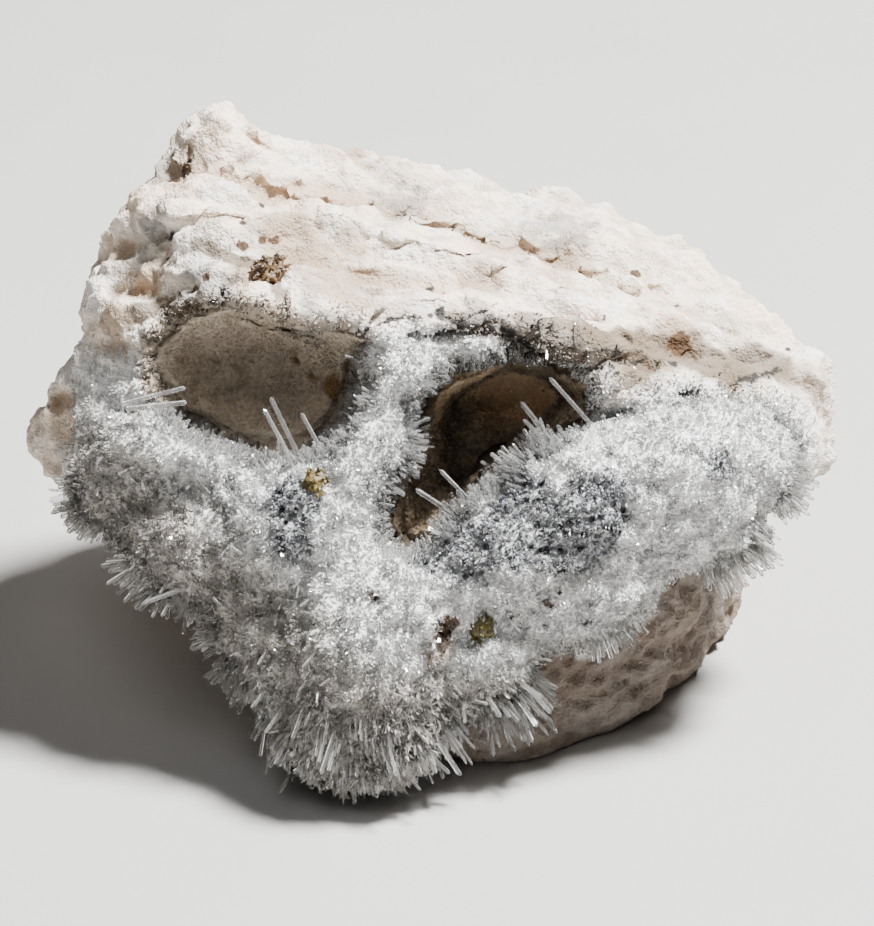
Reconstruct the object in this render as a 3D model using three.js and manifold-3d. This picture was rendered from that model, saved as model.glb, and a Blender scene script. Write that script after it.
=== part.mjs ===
// A natrolite crystal specimen, in millimetres, +Z up, standing on its flat base at the origin.
//
// A block of cream weathered rock stands on a broken base. Its front is a broken face that leans back,
// and a crust of white natrolite grew on that face: balls of needles, each radiating from its own
// centre, that have run together into one crust. Two hollows open through the crust into the rock, each
// with a lining of fine crystals, and a few brown mineral grains sit in the crust and on the rock.
//
// Most places are given on the broken face, as (right, up, out): millimetres from the middle of the face
// to the right, up along the face, and out of it. Turns are degrees counterclockwise, seen from in front.

import * as THREE from "three";
import { ConvexGeometry } from "three/addons/geometries/ConvexGeometry.js";
import { ConvexHull } from "three/addons/math/ConvexHull.js";
import { ImprovedNoise } from "three/addons/math/ImprovedNoise.js";
import { MarchingCubes } from "three/addons/objects/MarchingCubes.js";
import { mergeVertices } from "three/addons/utils/BufferGeometryUtils.js";
import Module from "manifold-3d";

const wasm = await Module();
wasm.setup();

// Driving sizes: how far the face leans back from upright, in degrees, and the height of its middle
const FACE_LEAN = 30;
const FACE_HEIGHT = 32.5;
const LINING_THICKNESS = 1.3;
const NEEDLE_WIDTH = 1.2;
const LONG_NEEDLE_WIDTH = 0.8;

// The clearances between neighbours
const CRUST_GAP = 0.5;
const LINING_GAP = 0.5;
const GRAIN_GAP = 0.4;

// About how wide the facets are
const ROCK_FACET = 4.5;
const CRUST_FACET = 3.2;
const LINING_FACET = 4.6;

// The cap is the upper block of rock. Its corners are the skyline from the peak to the right shoulder,
// the left side and its front edge, the lip over the hollows, and the hidden underside and back.
const CAP_CORNERS = [
  [-26.2, 35.2, -15],
  [-11.0, 34.6, -20],
  [3.5, 32.2, -23],
  [16.8, 28.4, -24],
  [28.2, 22.8, -22],
  [34.8, 16.2, -16],
  [39.6, 12.2, -11],
  [42.2, 7.2, -9],
  [41.2, 1.8, -9],
  [-30.6, 31.2, -14],
  [-34.6, 24.0, -13],
  [-37.4, 15.8, -13],
  [-36.0, 11.0, -14],
  [-27.6, 31.0, -10.5],
  [-31.8, 24.0, -9],
  [-33.4, 17.5, -8.5],
  [-28.4, 19.0, -4],
  [-22.7, 18.4, 1],
  [-14.7, 14.2, 2],
  [-5.7, 15.4, 1],
  [8.3, 13.6, 0],
  [22.3, 11.0, -1],
  [33.3, 9.6, -4],
  [-33, -4, -16],
  [-10, -6, -12],
  [14, -6, -12],
  [33, -4, -13],
  [-30, 14, -34],
  [-5, 16, -42],
  [24, 10, -40],
  [35, 0, -26],
];

// The pointed knob at the peak
const PEAK_CORNERS = [
  [-23.7, 39.4, -15],
  [-27.2, 33.4, -13],
  [-17.5, 32.8, -17],
  [-22.0, 31.0, -9.5],
  [-27.0, 30.0, -19],
  [-20.0, 31.0, -23],
];

// The left cheek, which comes forward beside the left hollow
const CHEEK_CORNERS = [
  [-36.0, 14.5, -14],
  [-36.6, 6.5, -14],
  [-31.5, 16.0, -6],
  [-28.6, 17.0, -4.5],
  [-29.2, 7.0, -3.5],
  [-34.0, 4.0, -8],
  [-27.0, 2.0, -8],
  [-34.0, 2.0, -18],
  [-28.0, 16.0, -18],
  [-26.0, 4.0, -20],
];

// The foot under the cap, whose corners are places to the right, to the back and above the base: the
// base ring, sunk a little so that the base cuts it, and the top, inside the cap.
const FOOT_CORNERS = [
  [-3.5, -3.0, -2],
  [4.0, -8.2, -2],
  [13.4, -3.4, -2],
  [21.5, 0.6, -2],
  [28.0, 10.8, -2],
  [33.6, 22.5, -2],
  [29, 40, -2],
  [8, 46, -2],
  [-16, 45, -2],
  [-29, 37, -2],
  [-24, 24, -2],
  [-14, 10, -2],
  [33, 24, 22],
  [24, 8, 24],
  [10, 2, 22],
  [-4, 6, 22],
  [-24, 22, 30],
  [-26, 38, 30],
  [0, 46, 28],
  [28, 40, 26],
];

// A knob of rock that stands out at the left edge
const KNOB_CORNERS = [
  [-41.6, 7.2, -19],
  [-44.0, 4.0, -20],
  [-42.8, -0.5, -19],
  [-39.5, -3.5, -15],
  [-34.5, 9.0, -10],
  [-33.0, -2.0, -9],
  [-34.0, 8.0, -26],
  [-33.0, -2.0, -26],
];

// The balls of needles that make the crust. spray is the angles on the face between which needles
// stand out past the ball, long is how far, and of is over how many directions they are spread.
const BALLS = [
  { at: [-26.7, 1.0, -4.0], radii: [8.2, 4.0, 6.2], turn: -12, spray: [60, 120], long: 1.2, of: 60 },
  { at: [-32.2, -2.0, -9.0], radii: [5.4, 5.4, 7.2], turn: 0, spray: [170, 280], long: 2.4, of: 50 },
  { at: [-24.1, -7.7, -7.0], radii: [7.7, 6.7, 8.2], turn: -30, spray: [185, 275], long: 3.2, of: 50 },
  { at: [-17.6, -15.8, -8.0], radii: [5.6, 7.6, 8.2], turn: 20, spray: [180, 270], long: 3.2, of: 50 },
  { at: [-12.9, -22.6, -9.0], radii: [3.6, 5.6, 6.2], turn: 15, spray: [190, 290], long: 4.0, of: 50 },
  { at: [-7.2, -18.6, -3.0], radii: [8.2, 9.2, 8.7], turn: 0, spray: [228, 318], long: 8.6, of: 150 },
  { at: [-13.7, -6.7, -2.5], radii: [8.2, 7.7, 6.7], turn: 0 },
  { at: [-7.4, 1.4, -4.0], radii: [4.4, 9.2, 7.2], turn: -22, spray: [-40, 40], long: 3.0, of: 40 },
  { at: [-3.4, 9.4, -4.0], radii: [4.6, 4.6, 6.2], turn: 0 },
  { at: [-3.7, -13.7, -2.5], radii: [8.2, 6.2, 7.2], turn: 0 },
  { at: [6.3, -9.7, -3.0], radii: [8.7, 6.6, 8.2], turn: 30, spray: [90, 160], long: 4.5, of: 50 },
  { at: [15.3, -4.2, -3.0], radii: [9.2, 7.7, 8.2], turn: 25, spray: [110, 170], long: 5.0, of: 50 },
  { at: [24.3, -0.7, -4.0], radii: [8.7, 7.2, 8.2], turn: 15 },
  { at: [31.0, 0.6, -7.0], radii: [5.8, 6.2, 7.2], turn: 0, spray: [-60, 10], long: 2.8, of: 60 },
  { at: [26.0, -6.0, -6.0], radii: [6.2, 4.6, 7.2], turn: 20, spray: [-80, 0], long: 5.0, of: 80 },
  { at: [15.3, -12.6, -6.0], radii: [8.7, 5.2, 7.7], turn: 25, spray: [-90, -20], long: 5.0, of: 60 },
  { at: [3.8, -19.6, -6.0], radii: [6.2, 5.4, 7.7], turn: 25, spray: [-90, -10], long: 6.5, of: 60 },
  { at: [8.3, 10.9, -3.0], radii: [8.2, 2.2, 4.2], turn: -12 },
];

// Longer needles that stand alone: where each points from, inside the crust, and its tip
const LONG_NEEDLES = [
  { from: [-33.0, 4.4, -4.0], tip: [-24.9, 7.5, 1.6] },
  { from: [-32.6, 3.4, -3.4], tip: [-24.8, 6.0, 1.8] },
  { from: [-12.6, -2.0, -1.0], tip: [-16.6, 6.6, 1.6] },
  { from: [-13.4, -2.0, -2.0], tip: [-17.3, 5.4, 0.4] },
  { from: [-10.0, -1.6, 0.0], tip: [-13.5, 5.0, 2.8] },
  { from: [-20.0, -10.6, -4.0], tip: [-29.3, -14.0, 1.0] },
  { from: [-31.0, -1.0, -8.0], tip: [-39.4, -5.2, -8.5] },
  { from: [7.5, -9.0, -3.0], tip: [-2.2, -2.6, -1.0] },
  { from: [8.0, -8.6, -2.0], tip: [0.2, -0.6, 0.5] },
  { from: [14.0, -4.0, -3.0], tip: [6.4, 0.4, 0.6] },
  { from: [16.0, -3.0, -3.0], tip: [8.6, 4.4, 0.6] },
  { from: [19.0, 0.0, -3.0], tip: [11.2, 8.6, -0.4] },
  { from: [15.0, -2.0, -4.0], tip: [8.4, 6.2, -2.4] },
  { from: [-6.4, 4.0, -3.0], tip: [-1.3, 2.5, -1.0] },
  { from: [-6.8, 1.6, -3.0], tip: [-1.4, 0.6, -1.5] },
  { from: [-6.8, -1.0, -2.0], tip: [-3.2, -3.2, 1.0] },
  { from: [4.0, -19.2, -5.0], tip: [10.6, -23.6, -1.0] },
  { from: [2.0, -18.8, -4.0], tip: [6.4, -25.4, 0.6] },
];

// The hollows, each a run of egg shapes sunk into the face
const LEFT_HOLLOW = [
  { at: [-18.6, 8.2, 0], radii: [10.8, 6.7, 11], turn: -16 },
  { at: [-10.8, 8.8, 0], radii: [5.4, 4.4, 7], turn: 20 },
];
const RIGHT_HOLLOW = [
  { at: [6.6, 5.6, 0], radii: [8.6, 4.4, 20], turn: 12 },
  { at: [0.2, -2.2, 0], radii: [7.2, 3.0, 18], turn: 55 },
];

// Mineral grains sunk in the surface, each with its place to the right and up, and its radius
const GRAINS = {
  olive_mineral_left: { place: [-12.1, -2.0], radius: 1.5, color: 0x6b5a25 },
  olive_mineral_centre: { place: [4.3, -15.9], radius: 1.6, color: 0x6f6433 },
  brown_mineral_top: { place: [-16.9, 19.1], radius: 1.9, color: 0x7a5530 },
};

const lean = THREE.MathUtils.degToRad(FACE_LEAN);
const faceToPart = new THREE.Matrix4()
  .makeTranslation(0, 0, FACE_HEIGHT)
  .multiply(new THREE.Matrix4().makeRotationX(Math.PI / 2 - lean));
const partToFace = faceToPart.clone().invert();
const noise = new ImprovedNoise();

// Height of a rough surface at a point, in millimetres, with lumps of the given size
function roughness(p, size, height) {
  const coarse = noise.noise(p.x / size + 7.3, p.y / size + 2.1, p.z / size + 5.7);
  const half = size / 2.3;
  const fine = noise.noise(p.x / half + 1.9, p.y / half + 8.4, p.z / half + 4.2);
  return height * (coarse + 0.5 * fine);
}

// Forms are fields: functions of a point on the face that give its distance from the surface, in
// millimetres, negative inside. These two take the highest and the lowest of some fields' values, with
// a round edge of the given size where two of them meet.
function highest(values, edge) {
  return edge * Math.log(values.reduce((sum, value) => sum + Math.exp(value / edge), 0));
}

function lowest(values, edge) {
  return -highest(values.map((value) => -value), edge);
}

// Forms run together into one, with a rough surface of the given lump size and height
function blended(forms, edge, [lump, height]) {
  return (p) => lowest(forms.map((form) => form(p)), edge) - roughness(p, lump, height);
}

// A broken stone: the hull of its corners, with its edges worn round. It is grown by as much as the
// wear takes off at a corner where four walls meet, so that the corners stay where they are.
function stone(corners, edge) {
  const walls = new ConvexHull().setFromPoints(corners).faces;
  const wear = edge * Math.log(4);
  return (p) => highest(walls.map((wall) => wall.distanceToPoint(p)), edge) - wear;
}

// An egg shape with its radii to the right, up and out
function egg({ at, radii, turn }) {
  const angle = THREE.MathUtils.degToRad(turn);
  const cos = Math.cos(angle);
  const sin = Math.sin(angle);
  return (p) => {
    const right = p.x - at[0];
    const up = p.y - at[1];
    const x = (right * cos + up * sin) / radii[0];
    const y = (up * cos - right * sin) / radii[1];
    const z = (p.z - at[2]) / radii[2];
    const share = Math.hypot(x, y, z);
    const steepness = Math.hypot(x / radii[0], y / radii[1], z / radii[2]);
    return (share * (share - 1)) / Math.max(1e-6, steepness);
  };
}

// A closed geometry as a solid, with its shared corners merged
function solidOf(geometry) {
  geometry.deleteAttribute("normal");
  geometry.deleteAttribute("uv");
  const merged = mergeVertices(geometry, 1e-3);
  return new wasm.Manifold(
    new wasm.Mesh({
      numProp: 3,
      vertProperties: merged.attributes.position.array,
      triVerts: new Uint32Array(merged.index.array),
    }),
  );
}

function joined(solids) {
  return solids.reduce((whole, next) => whole.add(next));
}

// The main piece of a solid that a cut has left in several
function largest(solid) {
  return solid.decompose().sort((a, b) => b.volume() - a.volume())[0];
}

// The skin of a field as a solid in the part's frame, in facets of about the given size
function skinned(field, facet) {
  const middle = new THREE.Vector3(0, 0, -20);
  const half = 52;
  const steps = Math.ceil((2 * half) / facet);
  // No grid point lies so near the surface that it would leave a sliver
  const keepOff = 0.12 * facet;
  const cubes = new MarchingCubes(steps, new THREE.MeshBasicMaterial(), false, false, 20000);
  cubes.isolation = 0;
  const p = new THREE.Vector3();
  for (let z = 0; z < steps; z++) {
    for (let y = 0; y < steps; y++) {
      for (let x = 0; x < steps; x++) {
        p.set(x, y, z).multiplyScalar(2 / steps).subScalar(1).multiplyScalar(half).add(middle);
        const depth = -field(p);
        cubes.setCell(x, y, z, Math.sign(depth) * Math.max(keepOff, Math.abs(depth)));
      }
    }
  }
  cubes.update();
  const corners = cubes.positionArray.slice(0, cubes.count * 3);
  const geometry = new THREE.BufferGeometry()
    .setAttribute("position", new THREE.BufferAttribute(corners, 3))
    .scale(half, half, half)
    .translate(middle.x, middle.y, middle.z)
    .applyMatrix4(faceToPart);
  return solidOf(geometry);
}

// Everything below a height, as a large closed block
function below(height) {
  const reach = 200;
  return solidOf(new THREE.BoxGeometry(reach, reach, reach).translate(0, 0, height - reach / 2));
}

// A square needle from its root to its tip, narrowing a little and ending in a low four-sided point
function needle(root, tip, width) {
  const along = tip.clone().sub(root).normalize();
  const side = new THREE.Vector3(Math.abs(along.x) > 0.8 ? 0 : 1, Math.abs(along.x) > 0.8 ? 1 : 0, 0);
  side.cross(along).setLength(width / Math.SQRT2);
  const other = side.clone().cross(along);
  const shoulder = tip.clone().addScaledVector(along, -0.6 * width);
  const corners = [tip];
  for (const [end, share] of [[root, 1], [shoulder, 0.85]]) {
    for (const edge of [side, other]) {
      corners.push(end.clone().addScaledVector(edge, share), end.clone().addScaledVector(edge, -share));
    }
  }
  return solidOf(new ConvexGeometry(corners).applyMatrix4(faceToPart));
}

const crustField = blended(BALLS.map(egg), 0.9, [5, 0.6]);
// The room that the rock leaves for the crust fills the creases between its balls
const crustRoomField = blended(BALLS.map(egg), 1.6, [5, 0.6]);
const leftHollow = blended(LEFT_HOLLOW.map(egg), 0.9, [4, 0.6]);
const rightHollow = blended(RIGHT_HOLLOW.map(egg), 0.9, [4, 0.6]);
const onFace = (corners) => corners.map((corner) => new THREE.Vector3(...corner));
const rockField = blended(
  [
    stone(onFace(CAP_CORNERS), 0.7),
    stone(onFace(PEAK_CORNERS), 0.5),
    stone(onFace(CHEEK_CORNERS), 0.7),
    stone(onFace(KNOB_CORNERS), 0.7),
    stone(onFace(FOOT_CORNERS).map((corner) => corner.applyMatrix4(partToFace)), 0.9),
  ],
  1.2,
  [9, 1],
);

// A needle with its root just under the crust's surface, on the way from a point inside to its tip
function rooted(from, tip, width) {
  const direction = tip.clone().sub(from).normalize();
  const root = tip.clone();
  while (crustField(root) > -1.2 && root.distanceTo(tip) < from.distanceTo(tip)) {
    root.addScaledVector(direction, -0.2);
  }
  return needle(root, tip, width);
}

// The needles that one ball sends out inside its spray's angles, spread evenly and of mixed lengths
function sprayOf(ball) {
  if (!ball.spray) return [];
  const [from, to] = ball.spray;
  const middle = new THREE.Vector3(...ball.at);
  const goldenTurn = Math.PI * (3 - Math.sqrt(5));
  const found = [];
  for (let i = 0; i < ball.of; i++) {
    const out = 1 - (2 * i + 1) / ball.of;
    const ring = Math.sqrt(1 - out * out);
    const turn = i * goldenTurn + ball.at[0];
    const direction = new THREE.Vector3(ring * Math.cos(turn), ring * Math.sin(turn), out);
    const past = THREE.MathUtils.euclideanModulo(THREE.MathUtils.radToDeg(turn) - from, 360);
    if (past > to - from || Math.abs(out) > 0.55) continue;
    const tip = middle.clone().add(direction);
    while (crustField(tip) < 0) tip.addScaledVector(direction, 0.2);
    tip.addScaledVector(direction, ball.long * (0.6 + 0.4 * ((i * 0.7549) % 1)));
    found.push(rooted(middle, tip, NEEDLE_WIDTH));
  }
  return found;
}

// An uneven grain round a place on the face, with its radius grown by a given amount
function grain(at, radius, grown) {
  const geometry = new THREE.IcosahedronGeometry(radius, 0);
  const corners = geometry.attributes.position;
  const corner = new THREE.Vector3();
  for (let i = 0; i < corners.count; i++) {
    corner.fromBufferAttribute(corners, i);
    const uneven = 1 + 0.5 * noise.noise(corner.x * 0.9, corner.y * 0.9, corner.z * 0.9);
    corner.setLength(radius * uneven + grown);
    corners.setXYZ(i, ...corner.toArray());
  }
  return solidOf(geometry.translate(at.x, at.y, at.z).applyMatrix4(faceToPart));
}

// The point of a field's surface that lies straight behind a place on the face
function surfaceBehind(field, [right, up]) {
  const p = new THREE.Vector3(right, up, 20);
  while (field(p) > 0) p.z -= 0.1;
  return p;
}

const underground = below(0);
const crustRoom = skinned((p) => crustRoomField(p) - CRUST_GAP, CRUST_FACET);
const stoneBlock = skinned(rockField, ROCK_FACET).subtract(crustRoom).subtract(underground);
const hollows = [leftHollow, rightHollow].map((field) => ({
  opening: skinned(field, LINING_FACET),
  lined: skinned((p) => field(p) - LINING_THICKNESS, LINING_FACET),
  cut: skinned((p) => field(p) - LINING_THICKNESS - LINING_GAP, LINING_FACET),
}));
const [leftLining, rightLining] = hollows.map(({ opening, lined }) =>
  largest(stoneBlock.intersect(lined).subtract(opening)),
);

const grains = Object.entries(GRAINS).map(([name, { place, radius, color }]) => {
  const at = surfaceBehind((p) => Math.min(rockField(p), crustField(p)), place);
  at.z -= radius * 0.4;
  return { name, color, solid: grain(at, radius, 0), socket: grain(at, radius, GRAIN_GAP) };
});
const sockets = joined(grains.map(({ socket }) => socket));

const rock = largest(stoneBlock.subtract(joined(hollows.map(({ cut }) => cut))).subtract(sockets));

// Needles that would run into the rock or a lining are left out
const neighbours = joined([rock, leftLining, rightLining]);
const needles = [
  ...BALLS.flatMap(sprayOf),
  ...LONG_NEEDLES.map(({ from, tip }) =>
    rooted(new THREE.Vector3(...from), new THREE.Vector3(...tip), LONG_NEEDLE_WIDTH),
  ),
].filter((one) => one.intersect(neighbours).volume() < 1e-6);

const crustBody = skinned(
  (p) => highest([crustField(p), -leftHollow(p), -rightHollow(p)], 0.4),
  CRUST_FACET,
);
const crust = largest(joined([crustBody, ...needles]).subtract(underground).subtract(sockets));

function meshOf(name, solid, material) {
  const made = solid.getMesh();
  const geometry = new THREE.BufferGeometry()
    .setAttribute("position", new THREE.BufferAttribute(new Float32Array(made.vertProperties), 3))
    .setIndex(new THREE.BufferAttribute(new Uint32Array(made.triVerts), 1));
  geometry.computeVertexNormals();
  const mesh = new THREE.Mesh(geometry, material);
  mesh.name = name;
  return mesh;
}

const material = (color, roughness) => new THREE.MeshStandardMaterial({ color, roughness, metalness: 0 });

const specimen = new THREE.Group();
specimen.add(
  meshOf("matrix_rock", rock, material(0xe6ded2, 0.9)),
  meshOf("natrolite_crust", crust, material(0xd4d4d1, 0.35)),
  meshOf("left_hollow_lining", leftLining, material(0x7a6c5a, 0.7)),
  meshOf("right_hollow_lining", rightLining, material(0x54462f, 0.7)),
  ...grains.map(({ name, solid, color }) => meshOf(name, solid, material(color, 0.75))),
);

// The origin is under the middle of the specimen's bounding box
const box = new THREE.Box3().setFromObject(specimen);
specimen.position.set(-(box.min.x + box.max.x) / 2, -(box.min.y + box.max.y) / 2, -box.min.z);

export default specimen;
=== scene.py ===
"""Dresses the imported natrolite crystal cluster: its weathered rock, its white crust of radiating crystals,
the lined hollows and mineral grains, and the stage that it stands on."""

import math

import bmesh
import bpy
import numpy as np
from mathutils import Matrix, Vector


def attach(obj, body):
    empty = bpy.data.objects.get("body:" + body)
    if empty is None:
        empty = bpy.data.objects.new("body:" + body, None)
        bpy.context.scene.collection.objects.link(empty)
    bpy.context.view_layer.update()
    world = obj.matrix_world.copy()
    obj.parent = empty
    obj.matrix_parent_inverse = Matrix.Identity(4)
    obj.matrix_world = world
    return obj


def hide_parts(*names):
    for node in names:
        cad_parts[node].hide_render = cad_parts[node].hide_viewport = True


bl_info = {
    "name": "Natrolite crystal cluster",
    "version": (1, 0, 0),
    "blender": (4, 5, 0),
    "location": "3D View > Sidebar > Cluster",
    "description": "Makes the rock, crust, hollows and mineral grains of a natrolite crystal cluster",
    "category": "Object",
}

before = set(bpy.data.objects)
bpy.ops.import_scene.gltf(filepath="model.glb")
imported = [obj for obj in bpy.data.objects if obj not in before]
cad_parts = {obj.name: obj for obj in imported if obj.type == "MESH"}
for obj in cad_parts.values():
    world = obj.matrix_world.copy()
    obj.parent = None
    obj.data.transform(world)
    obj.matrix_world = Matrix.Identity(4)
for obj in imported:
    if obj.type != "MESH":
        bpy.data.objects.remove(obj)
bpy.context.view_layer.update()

MM = 0.001

# Places on the broken face are (right, up, out), in millimetres from its middle. The face leans back by an
# angle in degrees, and its middle is at a height in millimetres. The eye is straight in front of it.
LEAN = 30
FACE_HEIGHT = 32.5
FACE_TO_PART = Matrix.Translation((0.00134, -0.013484, FACE_HEIGHT * MM)) @ Matrix.Rotation(
    math.radians(90 - LEAN), 4, "X"
)
FACE_TURN = np.array(FACE_TO_PART)[:3, :3]
EYE_DISTANCE = 0.34725
EYE = FACE_TO_PART @ Vector((0, 0, EYE_DISTANCE))


def egg(at, radii, turn=0, **more):
    """An egg shape: its middle, its radii, and how far it is turned on the face, in degrees."""
    return {"at": at, "radii": radii, "turn": turn, **more}


# The balls of crystals that have grown into one crust. spray is the angles on the face, in degrees, between
# which longer needles stand out past the ball, long is how far, and root is what they point away from, where
# that isn't the ball's middle.
BALLS = [
    egg((-26.7, 1.0, -4.0), (8.2, 4.0, 6.2), -12, spray=(60, 120), long=1.6),
    egg((-32.2, -2.0, -9.0), (5.4, 5.4, 7.2), spray=(170, 280), long=2.6),
    egg((-24.1, -7.7, -7.0), (7.7, 6.7, 8.2), -30, spray=(185, 275), long=3.4),
    egg((-17.6, -15.8, -8.0), (5.6, 7.6, 8.2), 20, spray=(180, 270), long=3.4),
    egg((-12.9, -22.6, -9.0), (3.6, 5.6, 6.2), 15, spray=(190, 290), long=4.2, root=(-11.0, -17.0, -8.0)),
    egg((-7.2, -18.6, -3.0), (8.2, 9.2, 8.7), spray=(215, 325), long=8.6, root=(-7.0, -9.5, -3.0)),
    egg((-13.7, -6.7, -2.5), (8.2, 7.7, 6.7)),
    egg((-7.4, 1.4, -4.0), (4.4, 9.2, 7.2), -22, spray=(-40, 40), long=2.6),
    egg((-3.4, 9.4, -4.0), (4.6, 4.6, 6.2)),
    egg((-3.7, -13.7, -2.5), (8.2, 6.2, 7.2)),
    egg((6.3, -9.7, -3.0), (8.7, 6.6, 8.2), 30, spray=(90, 160), long=3.2),
    egg((15.3, -4.2, -3.0), (9.2, 7.7, 8.2), 25, spray=(110, 170), long=3.2),
    egg((24.3, -0.7, -4.0), (8.7, 7.2, 8.2), 15),
    egg((31.0, 0.6, -7.0), (5.8, 6.2, 7.2), spray=(-60, 10), long=3.4),
    egg((26.0, -6.0, -6.0), (6.2, 4.6, 7.2), 20, spray=(-80, 0), long=4.2, root=(24.0, -1.0, -6.0)),
    egg((15.3, -12.6, -6.0), (8.7, 5.2, 7.7), 25, spray=(-90, -20), long=3.6, root=(14.0, -7.0, -6.0)),
    egg((3.8, -19.6, -6.0), (6.2, 5.4, 7.7), 25, spray=(-90, -10), long=5.2, root=(1.5, -13.0, -6.0)),
    egg((8.3, 10.9, -3.0), (8.2, 2.2, 4.2), -12),
]

# The needles at the foot of the crust lie along this in a fan, away from a place above its middle
FAN = egg((-7.6, -23.2, -4.2), (9.8, 9.6, 6.0))
FAN_ROOT = (-7.7, -13.7, 0.0)

# Longer needles that stand alone: where each points from, inside the crust, and its tip
LONE_NEEDLES = [
    ((-31.5, 5.9, 0.0), (-24.9, 7.5, 2.6)), ((-31.0, 5.4, 0.4), (-24.8, 6.0, 2.8)),
    ((-12.6, -2.0, -1.0), (-16.6, 6.6, 1.6)), ((-13.4, -2.0, -2.0), (-17.3, 5.4, 0.4)),
    ((-10.0, -1.6, 0.0), (-13.5, 5.0, 2.8)), ((-20.0, -10.6, -4.0), (-29.3, -14.0, 1.0)),
    ((-31.0, -1.0, -8.0), (-39.4, -5.2, -8.5)), ((7.5, -9.0, -3.0), (-2.2, -2.6, -1.0)),
    ((8.0, -8.6, -2.0), (0.2, -0.6, 0.5)), ((14.0, -4.0, -3.0), (6.4, 0.4, 0.6)),
    ((16.0, -3.0, -3.0), (8.6, 4.4, 0.6)), ((19.0, 0.0, -3.0), (11.2, 8.6, -0.4)),
    ((15.0, -2.0, -4.0), (8.4, 6.2, -2.4)), ((-6.4, 4.0, -3.0), (-1.3, 2.5, -1.0)),
    ((-6.8, 1.6, -3.0), (-1.4, 0.6, -1.5)), ((-6.8, -1.0, -2.0), (-3.2, -3.2, 1.0)),
    ((4.0, -19.2, -5.0), (10.6, -23.6, -1.0)), ((2.0, -18.8, -4.0), (6.4, -25.4, 0.6)),
    ((-7.6, -25.7, 1.8), (-2.0, -32.1, -1.2)), ((-2.3, -24.1, 0.9), (2.4, -31.6, -3.4)),
    ((-4.3, -25.7, 1.3), (1.3, -31.3, -2.6)), ((-8.6, -29.9, 0.2), (-8.3, -34.4, -3.2)),
    ((-12.3, -29.6, -2.0), (-14.5, -31.3, -3.0)), ((-12.6, -28.9, -1.0), (-15.0, -29.1, -2.6)),
]

# The hollows, each a run of egg shapes sunk into the face
LEFT_HOLLOW = [
    egg((-18.6, 8.2, 0), (10.8, 6.7, 11), -16),
    egg((-10.8, 8.8, 0), (5.4, 4.4, 7), 20),
]
RIGHT_HOLLOW = [
    egg((6.6, 5.6, 0), (8.6, 4.4, 20), 12),
    egg((0.2, -2.2, 0), (7.2, 3.0, 18), 55),
]

# What the crust leaves open of the left hollow
LEFT_OPENING = [LEFT_HOLLOW[0], egg((-12.6, 8.4, 0), (4.2, 3.8, 4.5), 20)]

# Marks on the surface, each a place on the face to the right and up, and the distances from it inside which
# the mark is full and outside which it is gone, in millimetres
BLACK_SPECKS = [
    (0.3, 15.1, 0.45, 0.9), (2.4, 13.7, 0.4, 0.8), (7.2, 13.2, 0.4, 0.85), (9.4, 11.7, 0.35, 0.8),
    (18.1, 11.3, 0.2, 0.5), (23.6, 10.0, 0.3, 0.65), (-25.7, 16.8, 0.25, 0.55), (-22.4, 16.1, 0.35, 0.7),
    (-21.7, 15.8, 0.35, 0.7), (-18.9, 14.7, 0.25, 0.55), (-17.5, 25.9, 0.2, 0.45), (-19.5, 24.1, 0.25, 0.5),
    (-27.0, 20.3, 0.2, 0.45), (-26.5, 22.5, 0.35, 0.8), (35.1, 11.4, 0.25, 0.55), (16.7, 14.5, 0.15, 0.35),
    (-0.8, 17.3, 0.3, 0.7), (7.4, -15.4, 0.25, 0.5), (15.2, -15.9, 0.25, 0.55), (-0.6, -12.5, 0.2, 0.4),
    (12.2, -12.8, 0.2, 0.4), (10.6, -23.6, 0.35, 0.6),
]
BROWN_STAINS = [
    (-19.4, 21.7, 0.3, 0.9), (-17.5, 22.3, 0.2, 0.7), (-16.2, 22.3, 0.3, 0.8), (-23.0, 18.6, 0.25, 0.7),
    (19.8, 18.8, 0.4, 0.9), (24.3, 11.8, 0.4, 2.0), (1.0, -16.4, 0.8, 1.7), (-6.0, -13.5, 0.15, 0.6),
    (11.1, -14.0, 0.25, 0.7), (-24.3, 17.4, 0.2, 0.5),
]
TAN_STAINS = [
    (-14.5, 20.8, 3.0, 7.0), (-7.7, 17.6, 2.0, 4.5), (-11.5, 18.2, 2.0, 4.5), (-8.5, 22.2, 1.0, 3.5),
    (-28.7, 18.3, 1.2, 3.4), (-32.7, 14.2, 1.0, 3.2), (0.2, -18.6, 0.6, 2.4), (4.3, 18.3, 0.8, 4.2),
    (13.3, 21.5, 0.8, 4.5), (24.3, 12.2, 1.0, 4.5), (16.3, 12.8, 1.0, 3.8), (20.3, 10.5, 1.5, 4.5),
    (29.0, 9.3, 1.0, 4.5), (36.0, 9.2, 1.0, 4.0), (-19.0, 19.3, 1.0, 3.4), (-8.5, 31.2, 0.6, 3.0),
]
GREY_PATCHES = [
    (-27.2, 29.3, 1.4, 4.0), (-28.0, 24.0, 1.0, 4.2), (-24.0, 19.0, 1.0, 3.6), (-22.0, 17.8, 1.0, 3.2),
    (12.2, 23.5, 2.0, 5.5), (-3.5, 25.8, 1.0, 5.0), (4.0, 15.5, 1.0, 3.0), (-11.5, 14.5, 1.0, 3.5),
    (8.0, 12.0, 1.5, 4.0),
]
# Wide brown bands, each a line of places on the face with its half width, partly painted shadow under the
# slab's lip
BROWN_AND_SHADED_BANDS = [
    ([(9.5, 13.0), (14.0, 12.2), (20.0, 11.2), (27.0, 10.0), (33.0, 9.6)], 1.3),
    ([(2.0, 14.2), (6.0, 13.4), (9.5, 12.6)], 0.6),
    ([(-30.5, 15.2), (-27.0, 15.6), (-23.0, 15.3)], 0.5),
    ([(-24.0, 22.0), (-18.0, 19.4), (-15.5, 17.0)], 0.35),
]
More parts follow.
